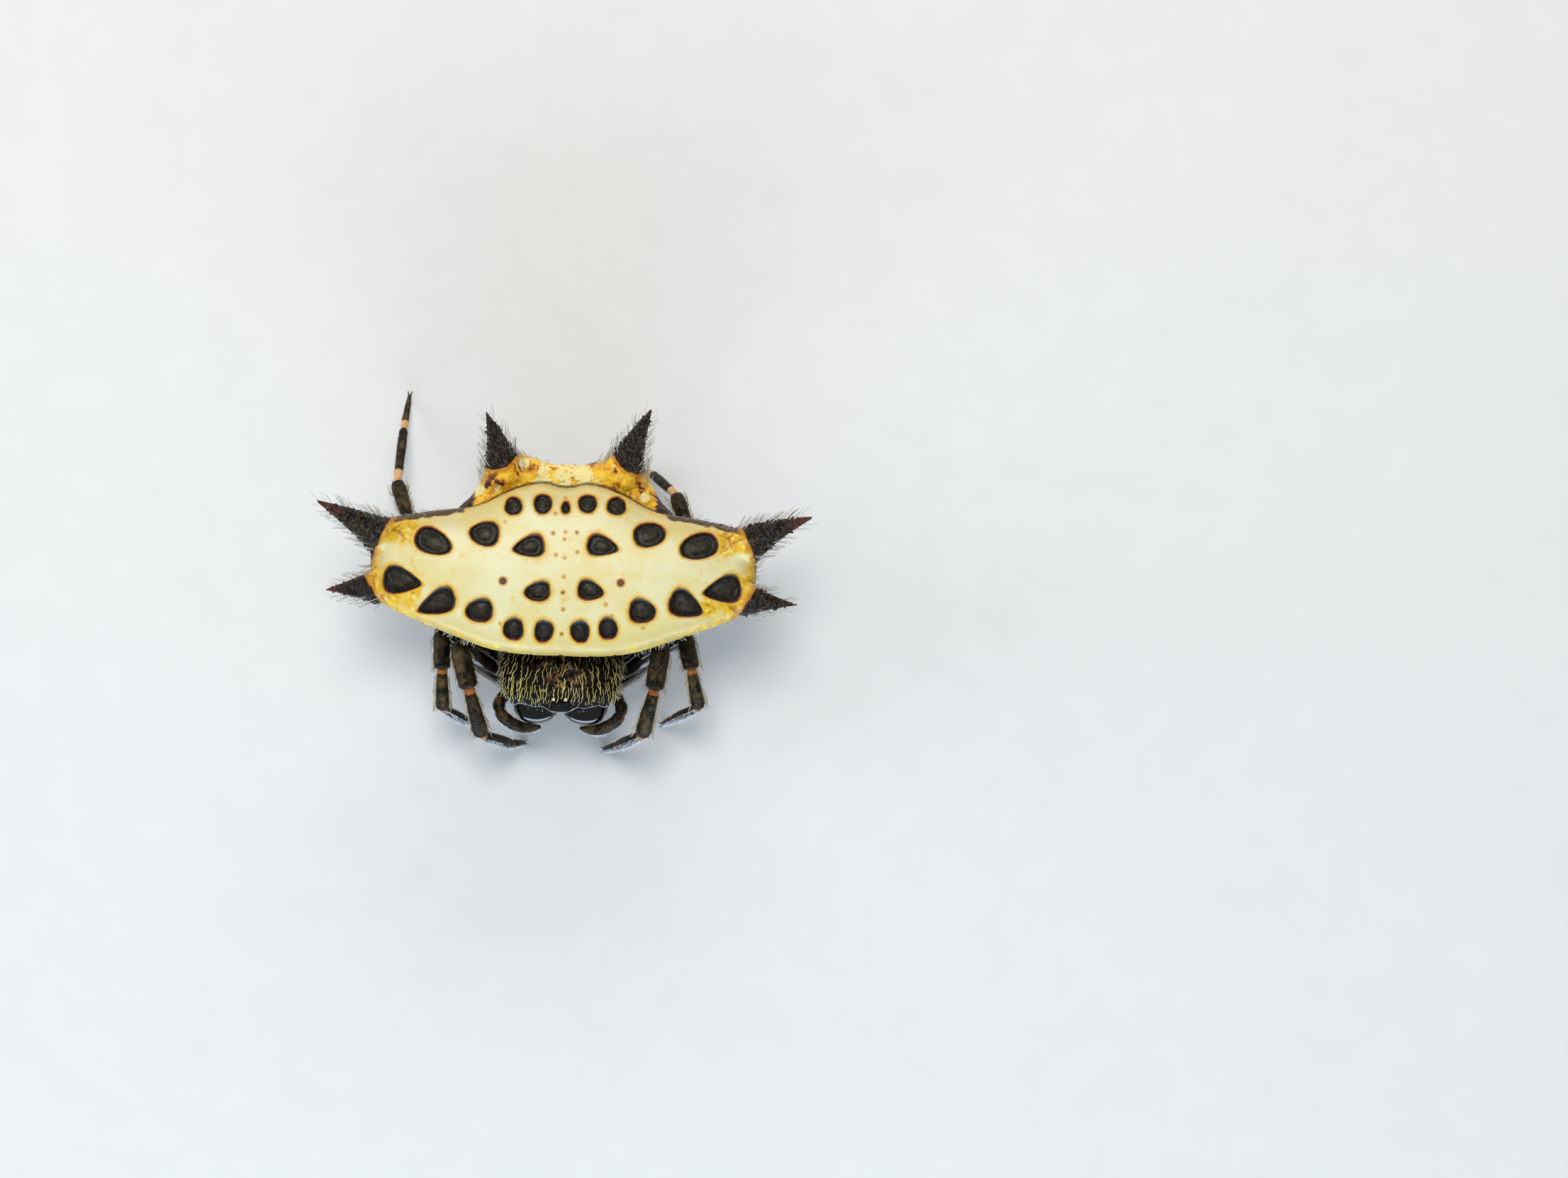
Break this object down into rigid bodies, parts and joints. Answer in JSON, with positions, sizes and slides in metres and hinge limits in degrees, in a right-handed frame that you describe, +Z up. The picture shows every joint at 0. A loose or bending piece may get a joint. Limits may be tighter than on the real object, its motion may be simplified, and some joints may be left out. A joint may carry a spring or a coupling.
{
  "type": "spiny orb weaver",
  "caption": "Spiny orb weaver spider, a still life-size model with a wide spined, spotted shield, standing on its legs.",
  "frame": {"origin": "on the floor under the middle of the whole outline, on the body's plane of symmetry", "axes": "+X towards the animal's left, along the line between the side spines; -Y towards the head; +Z up from the floor"},
  "size_m": [0.013, 0.0096, 0.0045],
  "materials": {
    "shield": "glossy cuticle, cream yellow with sunken dark spots and near-black spines",
    "carapace": "black-brown cuticle under gold hairs",
    "leg": "satin black-brown cuticle with orange rings at the joints",
    "chelicera": "polished black cuticle",
    "underside": "dull black-brown cuticle",
    "eye": "wet gloss"
  },
  "bodies": {
    "root": {"abdomen": "shield", "spinnerets": "underside", "pedicel": "underside", "cephalothorax": "carapace", "sternum": "underside", "chelicera_left": "chelicera", "chelicera_right": "chelicera", "fang_left": "chelicera", "fang_right": "chelicera", "palp_left": "leg", "palp_right": "leg", "eye_front_median_left": "eye", "eye_front_median_right": "eye", "eye_rear_median_left": "eye", "eye_rear_median_right": "eye", "eye_front_lateral_left": "eye", "eye_front_lateral_right": "eye", "eye_rear_lateral_left": "eye", "eye_rear_lateral_right": "eye", "leg_1_left": "leg", "leg_1_right": "leg", "leg_2_left": "leg", "leg_2_right": "leg", "leg_3_left": "leg", "leg_3_right": "leg", "leg_4_left": "leg", "leg_4_right": "leg"}
  },
  "joints": []
}
